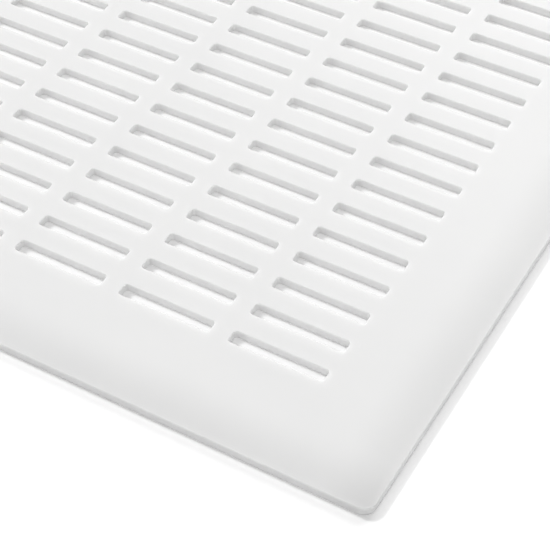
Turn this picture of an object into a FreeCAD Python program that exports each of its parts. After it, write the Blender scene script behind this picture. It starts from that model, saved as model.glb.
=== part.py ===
"""Queen excluder: one flat sheet of plastic with a grid of slots that let worker bees through.

The origin is the centre of the underside. +Z is up, X runs along the slots and the long side of the sheet,
and Y runs across them. Lengths are in millimetres.
"""

import FreeCAD, Part
import math
import os

import Sketcher

SHEET_NODE = "excluder_sheet"

# Each driving dimension: its alias in the spreadsheet, its value and what it is.
DIMENSIONS = [
    ("sheet_length", 504.8, "long side, that of a ten-frame hive box"),
    ("sheet_width", 412.8, "short side, that of a ten-frame hive box"),
    ("sheet_thickness", 2.8, "thickness of the plastic"),
    ("sheet_corner_radius", 3.6, "rounding of the four outer corners"),
    ("rim_edge_radius", 0.3, "easing of the outer top and bottom edges"),
    ("slot_length", 28.6, "length of one slot"),
    ("slot_width", 4.25, "a worker bee passes this and a queen doesn't"),
    ("slot_corner_radius", 0.9, "rounding of a slot's corners"),
    ("column_pitch", 34.7, "from one column of slots to the next, along X"),
    ("row_pitch", 11.56, "from one row of slots to the next, along Y"),
    ("column_count", 13, "columns of slots"),
    ("row_count", 31, "rows of slots"),
]

# How a sketch constraint names the start and the end of a line or an arc, and the origin of the sketch.
START, END = 1, 2
SKETCH_ORIGIN = (-1, 1)

# The flat faces' normals are at least this near to vertical.
FLAT_NORMAL_Z = 0.9
# How far the slotted sheet's volume may be from the one worked out, as a share of it.
VOLUME_TOLERANCE = 1e-6


def make_sizes(doc):
    """The spreadsheet that holds the driving dimensions, one in each row."""
    sizes = doc.addObject("Spreadsheet::Sheet", "sizes")
    for row, (alias, value, meaning) in enumerate(DIMENSIONS, start=1):
        sizes.set(f"A{row}", alias)
        sizes.set(f"B{row}", str(value))
        sizes.set(f"C{row}", meaning)
        sizes.setAlias(f"B{row}", alias)
    doc.recompute()
    return sizes


def add_sketch(body, name):
    """An empty sketch on the body's own XY plane."""
    sketch = body.newObject("Sketcher::SketchObject", name)
    plane = next(feature for feature in body.Origin.OriginFeatures if feature.Role == "XY_Plane")
    sketch.AttachmentSupport = (plane, "")
    sketch.MapMode = "FlatFace"
    return sketch


def constrain(sketch, kind, *arguments):
    return sketch.addConstraint(Sketcher.Constraint(kind, *arguments))


def constrain_to_sizes(sketch, label, formula, kind, *arguments):
    """A named dimension of the sketch, bound to a formula of the spreadsheet's cells."""
    number = constrain(sketch, kind, *arguments)
    sketch.renameConstraint(number, label)
    sketch.setExpression(f"Constraints.{label}", formula)


def draw_rounded_rectangle(sketch, sizes, prefix, centre_x, centre_y):
    """A rounded rectangle about a centre point, sized by the cells PREFIX_length, _width and _corner_radius.

    Returns the number of the centre point.
    """
    length = sizes.get(f"{prefix}_length")
    width = sizes.get(f"{prefix}_width")
    radius = sizes.get(f"{prefix}_corner_radius")
    side_x, side_y = length / 2, width / 2
    inner_x, inner_y = side_x - radius, side_y - radius

    def point(x, y):
        return FreeCAD.Vector(centre_x + x, centre_y + y, 0)

    def add_side(first, last):
        return sketch.addGeometry(Part.LineSegment(point(*first), point(*last)), False)

    def add_corner(x, y, first_angle):
        circle = Part.Circle(point(x, y), FreeCAD.Vector(0, 0, 1), radius)
        arc = Part.ArcOfCircle(circle, first_angle, first_angle + math.pi / 2)
        return sketch.addGeometry(arc, False)

    near = add_side((-inner_x, -side_y), (inner_x, -side_y))
    right = add_side((side_x, -inner_y), (side_x, inner_y))
    far = add_side((inner_x, side_y), (-inner_x, side_y))
    left = add_side((-side_x, inner_y), (-side_x, -inner_y))
    corners = [
        add_corner(inner_x, -inner_y, -math.pi / 2),
        add_corner(inner_x, inner_y, 0.0),
        add_corner(-inner_x, inner_y, math.pi / 2),
        add_corner(-inner_x, -inner_y, math.pi),
    ]
    centre = sketch.addGeometry(Part.Point(point(0, 0)), True)

    sides = [near, right, far, left]
    for number, corner in enumerate(corners):
        constrain(sketch, "Tangent", sides[number], END, corner, START)
        constrain(sketch, "Tangent", corner, END, sides[(number + 1) % 4], START)
    for side in (near, far):
        constrain(sketch, "Horizontal", side)
    for side in (right, left):
        constrain(sketch, "Vertical", side)
    for corner in corners[1:]:
        constrain(sketch, "Equal", corners[0], corner)
    constrain(sketch, "Symmetric", near, START, far, START, centre, START)
    across_x, across_y = (left, START, right, START), (near, START, far, START)
    constrain_to_sizes(sketch, "length", f"sizes.{prefix}_length", "DistanceX", *across_x, length)
    constrain_to_sizes(sketch, "width", f"sizes.{prefix}_width", "DistanceY", *across_y, width)
    constrain_to_sizes(sketch, "corner_radius", f"sizes.{prefix}_corner_radius", "Radius", corners[0], radius)
    return centre


def add_plain_sheet(body, sizes):
    """The sheet before it is slotted, with its outer edges eased."""
    outline = add_sketch(body, "sheet_outline")
    centre = draw_rounded_rectangle(outline, sizes, "sheet", 0, 0)
    constrain(outline, "Coincident", centre, START, *SKETCH_ORIGIN)

    sheet = body.newObject("PartDesign::Pad", "plain_sheet")
    sheet.Profile = outline
    sheet.setExpression("Length", "sizes.sheet_thickness")
    body.Document.recompute()

    eased = body.newObject("PartDesign::Fillet", "eased_rim")
    flat_faces = [
        f"Face{number}"
        for number, face in enumerate(sheet.Shape.Faces, start=1)
        if abs(face.normalAt(0, 0).z) > FLAT_NORMAL_Z
    ]
    eased.Base = (sheet, flat_faces)
    eased.setExpression("Radius", "sizes.rim_edge_radius")
    return eased


def add_first_slot(body, sizes):
    """The slot at the far right of the grid, cut right through."""
    centre_x = (sizes.column_count - 1) * sizes.column_pitch / 2
    centre_y = (sizes.row_count - 1) * sizes.row_pitch / 2
    outline = add_sketch(body, "slot_outline")
    centre = draw_rounded_rectangle(outline, sizes, "slot", centre_x, centre_y)
    constrain_to_sizes(
        outline,
        "centre_x",
        "(sizes.column_count - 1) * sizes.column_pitch / 2",
        "DistanceX",
        *SKETCH_ORIGIN,
        centre,
        START,
        centre_x,
    )
    constrain_to_sizes(
        outline,
        "centre_y",
        "(sizes.row_count - 1) * sizes.row_pitch / 2",
        "DistanceY",
        *SKETCH_ORIGIN,
        centre,
        START,
        centre_y,
    )

    slot = body.newObject("PartDesign::Pocket", "first_slot")
    slot.Profile = outline
    slot.Type = "ThroughAll"
    slot.Reversed = True
    body.Document.recompute()
    return outline, slot


def add_row_of_copies(body, outline, name, axis, count, pitch):
    """A pattern along one axis of the slot's sketch, from the first slot towards the sheet's other end."""
    pattern = body.newObject("PartDesign::LinearPattern", name)
    pattern.Direction = (outline, [axis])
    pattern.Reversed = True
    pattern.setExpression("Length", f"(sizes.{count} - 1) * sizes.{pitch}")
    pattern.setExpression("Occurrences", f"sizes.{count}")
    return pattern


def add_slot_grid(body, outline, slot):
    """The first slot repeated in columns along X and in rows along Y."""
    grid = body.newObject("PartDesign::MultiTransform", "slot_grid")
    grid.Originals = [slot]
    grid.Transformations = [
        add_row_of_copies(body, outline, "columns", "H_Axis", "column_count", "column_pitch"),
        add_row_of_copies(body, outline, "rows", "V_Axis", "row_count", "row_pitch"),
    ]
    body.Tip = grid
    body.Document.recompute()
    return grid


def make_excluder_sheet(doc, sizes):
    body = doc.addObject("PartDesign::Body", SHEET_NODE)
    body.Label = SHEET_NODE
    body.Placement = FreeCAD.Placement()
    add_plain_sheet(body, sizes)
    doc.recompute()
    uncut_volume = body.Shape.Volume
    outline, slot = add_first_slot(body, sizes)
    add_slot_grid(body, outline, slot)

    corner_loss = (4 - math.pi) * sizes.slot_corner_radius**2
    slot_volume = (sizes.slot_length * sizes.slot_width - corner_loss) * sizes.sheet_thickness
    expected = uncut_volume - sizes.column_count * sizes.row_count * slot_volume
    if abs(body.Shape.Volume - expected) > VOLUME_TOLERANCE * expected:
        raise RuntimeError(f"the slotted sheet's volume is {body.Shape.Volume:.1f} and not {expected:.1f}")
    return body


def check(doc, pieces):
    """Stops if any object failed to compute, or if a piece is null, invalid or not one solid."""
    for thing in doc.Objects:
        if "Invalid" in thing.State or "Error" in thing.State:
            raise RuntimeError(f"{thing.Name} failed: {thing.State}")
    for piece in pieces:
        shape = piece.Shape
        if shape.isNull() or not shape.isValid() or len(shape.Solids) != 1:
            raise RuntimeError(f"{piece.Label} isn't one valid solid")


def main():
    doc = FreeCAD.newDocument("queen_excluder")
    sizes = make_sizes(doc)
    pieces = [make_excluder_sheet(doc, sizes)]
    check(doc, pieces)
    os.makedirs("parts", exist_ok=True)
    for piece in pieces:
        piece.Shape.exportStep(os.path.join("parts", f"{piece.Label}.step"))
        box = piece.Shape.BoundBox
        print(f"{piece.Label}: {box.XLength:.2f} x {box.YLength:.2f} x {box.ZLength:.2f} mm")


main()
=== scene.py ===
"""Looks of the queen excluder: one slotted sheet of natural plastic, lying on a white floor.

Lengths are in metres. The sheet fills the CAD sheet's box, and its slots are those of the CAD sheet.
"""

import math

import bpy
from mathutils import Matrix, Vector


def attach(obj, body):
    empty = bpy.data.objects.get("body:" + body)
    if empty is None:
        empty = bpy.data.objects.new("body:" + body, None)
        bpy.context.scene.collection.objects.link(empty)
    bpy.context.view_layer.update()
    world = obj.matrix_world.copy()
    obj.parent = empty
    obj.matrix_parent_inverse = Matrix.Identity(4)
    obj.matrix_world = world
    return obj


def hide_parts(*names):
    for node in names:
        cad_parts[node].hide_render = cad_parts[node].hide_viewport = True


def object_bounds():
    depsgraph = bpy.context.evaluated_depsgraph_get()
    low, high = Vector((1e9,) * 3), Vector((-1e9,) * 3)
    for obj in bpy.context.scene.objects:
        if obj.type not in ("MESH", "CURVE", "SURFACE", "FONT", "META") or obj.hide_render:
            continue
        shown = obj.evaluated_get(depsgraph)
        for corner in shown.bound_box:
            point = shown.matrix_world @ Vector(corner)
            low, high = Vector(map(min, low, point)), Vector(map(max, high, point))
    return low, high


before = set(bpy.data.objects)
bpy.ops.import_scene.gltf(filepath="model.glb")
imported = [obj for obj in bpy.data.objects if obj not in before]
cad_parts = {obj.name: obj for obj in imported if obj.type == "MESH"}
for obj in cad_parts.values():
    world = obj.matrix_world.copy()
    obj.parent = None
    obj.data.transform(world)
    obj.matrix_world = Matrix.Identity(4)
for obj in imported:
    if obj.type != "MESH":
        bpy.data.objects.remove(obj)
cad_low, cad_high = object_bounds()

SHEET_NODE = "excluder_sheet"
MM = 0.001

# The slot grid of the CAD sheet.
COLUMNS, ROWS = 13, 31
COLUMN_PITCH, ROW_PITCH = 34.7 * MM, 11.56 * MM
SLOT_LENGTH, SLOT_WIDTH, SLOT_CORNER_RADIUS = 28.6 * MM, 4.25 * MM, 0.9 * MM
SHEET_CORNER_RADIUS = 3.6 * MM

# How the mould leaves the edges, and how many steps draw each curve.
SLOT_EDGE_RADIUS = 0.3 * MM
RIM_EDGE_RADIUS = 0.3 * MM
EDGE_STEPS = 3
SLOT_CORNER_STEPS = 4
SHEET_CORNER_STEPS = 8
# How strongly the large flat faces set the shading of the edges beside them, from 1 to 100.
FLAT_FACE_WEIGHT = 100

# Painted shade: how far the plastic's colour is darkened toward the sheet's outer edges, and over what width.
EDGE_SHADE = 0.9
EDGE_SHADE_WIDTH = 17 * MM

FLOOR_SIZE = 8.0

# The camera looks at a point of the top face this far in from the sheet's right and near edges.
AIM_FROM_RIGHT, AIM_FROM_NEAR = 59.6 * MM, 58.2 * MM
CAMERA_DISTANCE = 443.6 * MM
CAMERA_AZIMUTH, CAMERA_ELEVATION, CAMERA_ROLL = 29.6, 45.45, 0.27

# The studio: where the lights point, how far away they are, and each light's name, azimuth, elevation,
# diameter and power in watts.
LIT_SPOT = Vector((0.2, -0.15, 0))
LIGHT_DISTANCE = 2.5
LIGHTS = [
    ("key", 262, 45, 0.25, 18.0),
    ("soft_key", 258, 46, 1.0, 13.0),
    ("back", 185, 35, 1.5, 28.0),
    ("top", 0, 89, 2.0, 4.0),
    ("front", 40, 38, 1.5, 5.0),
    ("low_front", 0, 18, 1.2, 5.5),
    ("low_right", 80, 18, 1.2, 8.5),
]
ROOM_STRENGTH = 0.28


class MeshBuilder:
    """Collects points and faces, and uses a point again where another face already has it."""

    PRECISION = 7

    def __init__(self):
        self.points = []
        self.faces = []
        self.numbers = {}

    def point(self, x, y, z):
        key = (round(x, self.PRECISION), round(y, self.PRECISION), round(z, self.PRECISION))
        if key not in self.numbers:
            self.numbers[key] = len(self.points)
            self.points.append((x, y, z))
        return self.numbers[key]

    def face(self, corners, facing_up=True):
        numbers = [self.point(*corner) for corner in corners]
        self.faces.append(numbers if facing_up else numbers[::-1])

    def band(self, first, second):
        """Quads between two closed rings of as many points."""
        count = len(first)
        for number in range(count):
            after = (number + 1) % count
            self.face([first[number], first[after], second[after], second[number]])

    def make(self, name):
        mesh = bpy.data.meshes.new(name)
        mesh.from_pydata(self.points, [], self.faces)
        mesh.validate()
        mesh.update()
        piece = bpy.data.objects.new(name, mesh)
        bpy.context.scene.collection.objects.link(piece)
        return piece


def edge_profile(radius, low, high):
    """A wall's section from the top face to the bottom face, with both edges rounded: (set back, height)."""
    section = []
    for step in range(EDGE_STEPS + 1):
        angle = math.pi / 2 * (1 - step / EDGE_STEPS)
        section.append((radius * (1 - math.cos(angle)), high - radius + radius * math.sin(angle)))
    return section + [(set_back, low + high - height) for set_back, height in reversed(section)]


def corner_arcs(half_x, half_y, radius, grow, steps):
    """The four arcs of a rounded rectangle about the origin, anticlockwise from the right of the near side.

    grow moves the outline outward and keeps the arcs' centres.
    """
    centre_x, centre_y = half_x - radius, half_y - radius
    arcs = []
    for quarter, (side_x, side_y) in enumerate([(1, -1), (1, 1), (-1, 1), (-1, -1)]):
        arc = []
        for step in range(steps + 1):
            angle = math.pi / 2 * (quarter - 1 + step / steps)
            x = side_x * centre_x + (radius + grow) * math.cos(angle)
            y = side_y * centre_y + (radius + grow) * math.sin(angle)
            arc.append((x, y))
        arcs.append(arc)
    return arcs


def cell_offsets(pitch, slot_size):
    """Where half a cell's side has points, from the end of the slot's straight side to the cell's corner."""
    straight = slot_size / 2 - SLOT_CORNER_RADIUS
    half = SLOT_CORNER_STEPS // 2
    return [straight + (pitch / 2 - straight) * step / half for step in range(half + 1)]


def cell_ring():
    """Points round a slot's cell, one for each point of the slot's outline."""
    along = cell_offsets(COLUMN_PITCH, SLOT_LENGTH)
    across = cell_offsets(ROW_PITCH, SLOT_WIDTH)
    cell_x, cell_y = along[-1], across[-1]
    quadrant = [(x, cell_y) for x in along] + [(cell_x, y) for y in across[-2::-1]]
    ring = []
    for side_x, side_y, backwards in [(1, -1, False), (1, 1, True), (-1, 1, False), (-1, -1, True)]:
        corner = [(side_x * x, side_y * y) for x, y in quadrant]
        ring += corner[::-1] if backwards else corner
    return ring


def at_height(ring, centre, height):
    return [(centre[0] + x, centre[1] + y, height) for x, y in ring]


def slot_centres():
    for column in range(COLUMNS):
        for row in range(ROWS):
            yield (column - (COLUMNS - 1) / 2) * COLUMN_PITCH, (row - (ROWS - 1) / 2) * ROW_PITCH


def add_slots(builder, low, high):
    """The grid of cells: each slot's wall, and both faces of the plastic round it."""
    outer = cell_ring()
    section = []
    for set_back, height in edge_profile(SLOT_EDGE_RADIUS, low, high):
        arcs = corner_arcs(SLOT_LENGTH / 2, SLOT_WIDTH / 2, SLOT_CORNER_RADIUS, set_back, SLOT_CORNER_STEPS)
        section.append(([place for arc in arcs for place in arc], height))
    for centre in slot_centres():
        rings = [at_height(outer, centre, high)]
        rings += [at_height(ring, centre, height) for ring, height in section]
        rings.append(at_height(outer, centre, low))
        for upper, lower in zip(rings, rings[1:]):
            builder.band(upper, lower)


def rim_ring(set_back, size_x, size_y, marks_x, marks_y):
    """The sheet's outline, with a point on each straight side for each cell point beside it."""
    half_x, half_y = size_x / 2, size_y / 2
    right_near, right_far, left_far, left_near = corner_arcs(
        half_x, half_y, SHEET_CORNER_RADIUS, -set_back, SHEET_CORNER_STEPS
    )
    near = [(x, set_back - half_y) for x in marks_x]
    right = [(half_x - set_back, y) for y in marks_y]
    far = [(x, half_y - set_back) for x in reversed(marks_x)]
    left = [(set_back - half_x, y) for y in reversed(marks_y)]
    return near + right_near + right + right_far + far + left_far + left + left_near


def cell_marks(count, pitch, slot_size):
    """Where the cells' edges have points, along one side of the grid."""
    offsets = cell_offsets(pitch, slot_size)
    offsets += [-offset for offset in offsets]
    middles = [(number - (count - 1) / 2) * pitch for number in range(count)]
    return sorted({round(middle + offset, MeshBuilder.PRECISION) for middle in middles for offset in offsets})


def add_margin(builder, low, high):
    """The plain margin round the grid, and the sheet's outer wall."""
    size = cad_high - cad_low
    marks_x = cell_marks(COLUMNS, COLUMN_PITCH, SLOT_LENGTH)
    marks_y = cell_marks(ROWS, ROW_PITCH, SLOT_WIDTH)
    section = [
        at_height(rim_ring(set_back, size.x, size.y, marks_x, marks_y), (0, 0), height)
        for set_back, height in edge_profile(RIM_EDGE_RADIUS, low, high)
    ]
    for upper, lower in zip(section, section[1:]):
        builder.band(lower, upper)

    edge_x, edge_y = marks_x[-1], marks_y[-1]
    corner_points = SHEET_CORNER_STEPS + 1
    for ring, height, facing_up in ((section[0], high, True), (section[-1], low, False)):
        start = 0
        sides = [
            [(x, -edge_y, height) for x in marks_x],
            [(edge_x, y, height) for y in marks_y],
            [(x, edge_y, height) for x in reversed(marks_x)],
            [(-edge_x, y, height) for y in reversed(marks_y)],
        ]
        for side in sides:
            outer = ring[start:start + len(side)]
            for number in range(len(side) - 1):
                corners = [outer[number], outer[number + 1], side[number + 1], side[number]]
                builder.face(corners, facing_up)
            start += len(side)
            turn = [outer[-1]] + ring[start:start + corner_points]
            start += corner_points
            turn.append(ring[start % len(ring)])
            for first, second in zip(turn, turn[1:]):
                builder.face([side[-1], first, second], facing_up)


def make_sheet():
    low, high = cad_low.z, cad_high.z
    builder = MeshBuilder()
    add_slots(builder, low, high)
    add_margin(builder, low, high)
    sheet = builder.make("slotted_sheet")
    for polygon in sheet.data.polygons:
        polygon.use_smooth = True
    flatten = sheet.modifiers.new("flat_faces", "WEIGHTED_NORMAL")
    flatten.mode = "FACE_AREA"
    flatten.weight = FLAT_FACE_WEIGHT
    return sheet


def new_material(name):
    """A material with one Principled BSDF, and its shader."""
    material = bpy.data.materials.new(name)
    material.use_nodes = True
    return material, material.node_tree.nodes["Principled BSDF"]


def add_noise(tree, place, scale, detail):
    """A noise that rides on the piece, with so many features per metre."""
    noise = tree.nodes.new("ShaderNodeTexNoise")
    noise.inputs["Scale"].default_value = scale
    noise.inputs["Detail"].default_value = detail
    tree.links.new(place.outputs["Object"], noise.inputs["Vector"])
    return noise


def add_painted_edge_shade(tree, place, axis, half_size):
    """Painted shade: 1 over the sheet and EDGE_SHADE at its two outer edges across the axis, with a soft step
    between.
    """
    distance = tree.nodes.new("ShaderNodeMath")
    distance.operation = "ABSOLUTE"
    tree.links.new(place.outputs[axis], distance.inputs[0])
    shade = tree.nodes.new("ShaderNodeMapRange")
    shade.interpolation_type = "SMOOTHSTEP"
    shade.inputs["From Min"].default_value = half_size - EDGE_SHADE_WIDTH
    shade.inputs["From Max"].default_value = half_size
    shade.inputs["To Min"].default_value = 1.0
    shade.inputs["To Max"].default_value = EDGE_SHADE
    tree.links.new(distance.outputs["Value"], shade.inputs["Value"])
    return shade


def make_natural_plastic():
    """Natural polypropylene: light goes some millimetres into it, and its face is satin.

    The colour is painted a little darker toward the sheet's outer edges, as painted shade on the margin. It
    is there for the look, and isn't known of the real plastic.
    """
    material, shader = new_material("natural_plastic")
    shader.inputs["Subsurface Weight"].default_value = 0.95
    shader.inputs["Subsurface Radius"].default_value = (1, 1, 1)
    shader.inputs["Subsurface Scale"].default_value = 2.2 * MM
    shader.inputs["IOR"].default_value = 1.49
    shader.inputs["Specular IOR Level"].default_value = 0.4

    tree = material.node_tree
    place = tree.nodes.new("ShaderNodeTexCoord")
    add_plastic_colour_and_painted_shade(tree, place, shader)
    add_satin_grain(tree, place, shader)
    return material


def add_plastic_colour_and_painted_shade(tree, place, shader):
    """Faint clouds in the plastic, and painted shade toward its outer edges."""
    clouds = add_noise(tree, place, scale=35.0, detail=3.0)
    tint = tree.nodes.new("ShaderNodeMix")
    tint.data_type = "RGBA"
    tint.inputs["A"].default_value = (0.784, 0.784, 0.783, 1)
    tint.inputs["B"].default_value = (0.816, 0.815, 0.812, 1)
    tree.links.new(clouds.outputs["Fac"], tint.inputs["Factor"])

    # Painted shade: the plastic's colour is darkened toward the sheet's outer edges, more at the corners.
    split = tree.nodes.new("ShaderNodeSeparateXYZ")
    tree.links.new(place.outputs["Object"], split.inputs["Vector"])
    shade = tree.nodes.new("ShaderNodeMath")
    shade.operation = "MULTIPLY"
    for number, (axis, half_size) in enumerate([("X", cad_high.x), ("Y", cad_high.y)]):
        edge = add_painted_edge_shade(tree, split, axis, half_size)
        tree.links.new(edge.outputs["Result"], shade.inputs[number])
    shaded = tree.nodes.new("ShaderNodeVectorMath")
    shaded.operation = "SCALE"
    tree.links.new(tint.outputs["Result"], shaded.inputs["Vector"])
    tree.links.new(shade.outputs["Value"], shaded.inputs["Scale"])
    tree.links.new(shaded.outputs["Vector"], shader.inputs["Base Color"])


def add_satin_grain(tree, place, shader):
    """A grain under half a millimetre that varies the gloss and the surface."""
    grain = add_noise(tree, place, scale=2600.0, detail=2.0)
    satin = tree.nodes.new("ShaderNodeMapRange")
    satin.inputs["To Min"].default_value = 0.42
    satin.inputs["To Max"].default_value = 0.52
    tree.links.new(grain.outputs["Fac"], satin.inputs["Value"])
    tree.links.new(satin.outputs["Result"], shader.inputs["Roughness"])
    bump = tree.nodes.new("ShaderNodeBump")
    bump.inputs["Strength"].default_value = 0.12
    bump.inputs["Distance"].default_value = 0.02 * MM
    tree.links.new(grain.outputs["Fac"], bump.inputs["Height"])
    tree.links.new(bump.outputs["Normal"], shader.inputs["Normal"])


def make_floor():
    """A matt white floor, which glows a little so that it comes out white beside the sheet."""
    material, shader = new_material("white_floor")
    shader.inputs["Base Color"].default_value = (0.95, 0.95, 0.95, 1)
    shader.inputs["Roughness"].default_value = 0.9
    shader.inputs["Emission Color"].default_value = (1, 1, 1, 1)
    shader.inputs["Emission Strength"].default_value = 0.12
    corners = [(-1, -1), (1, -1), (1, 1), (-1, 1)]
    builder = MeshBuilder()
    builder.face([(x * FLOOR_SIZE / 2, y * FLOOR_SIZE / 2, cad_low.z) for x, y in corners])
    floor = builder.make("floor")
    floor.data.materials.append(material)


def look_along(azimuth, elevation, roll=0.0):
    """A rotation that looks down at elevation, from azimuth degrees anticlockwise of the near side."""
    turn, tilt = math.radians(azimuth), math.radians(elevation)
    back = Vector((math.sin(turn) * math.cos(tilt), -math.cos(turn) * math.cos(tilt), math.sin(tilt)))
    rotation = (-back).to_track_quat("-Z", "Y").to_matrix() @ Matrix.Rotation(math.radians(roll), 3, "Z")
    return back, rotation


def make_camera():
    """A long lens on the near right corner of the sheet."""
    target = Vector((cad_high.x - AIM_FROM_RIGHT, cad_low.y + AIM_FROM_NEAR, cad_high.z))
    back, rotation = look_along(CAMERA_AZIMUTH, CAMERA_ELEVATION, CAMERA_ROLL)
    data = bpy.data.cameras.new("camera")
    data.lens = 105.8
    data.sensor_width = 36.0
    data.clip_start = 0.01
    camera = bpy.data.objects.new("camera", data)
    camera.matrix_world = Matrix.Translation(target + back * CAMERA_DISTANCE) @ rotation.to_4x4()
    bpy.context.scene.collection.objects.link(camera)
    bpy.context.scene.camera = camera


def add_area_light(name, azimuth, elevation, size, power):
    """A round soft box that shines on the near right of the sheet, where the camera looks."""
    back, rotation = look_along(azimuth, elevation)
    data = bpy.data.lights.new(name, "AREA")
    data.shape = "DISK"
    data.size = size
    data.energy = power
    light = bpy.data.objects.new(name, data)
    light.matrix_world = Matrix.Translation(LIT_SPOT + back * LIGHT_DISTANCE) @ rotation.to_4x4()
    bpy.context.scene.collection.objects.link(light)


def make_light():
    """A small key light from the left, large soft ones round it and an even white room."""
    for light in LIGHTS:
        add_area_light(*light)
    world = bpy.data.worlds.new("studio")
    world.use_nodes = True
    background = world.node_tree.nodes["Background"]
    background.inputs["Color"].default_value = (1, 1, 1, 1)
    background.inputs["Strength"].default_value = ROOM_STRENGTH
    bpy.context.scene.world = world
    bpy.context.scene.view_settings.view_transform = "Standard"


def main():
    sheet = make_sheet()
    sheet.data.materials.append(make_natural_plastic())
    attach(sheet, "root")
    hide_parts(SHEET_NODE)
    make_floor()
    make_camera()
    make_light()


main()
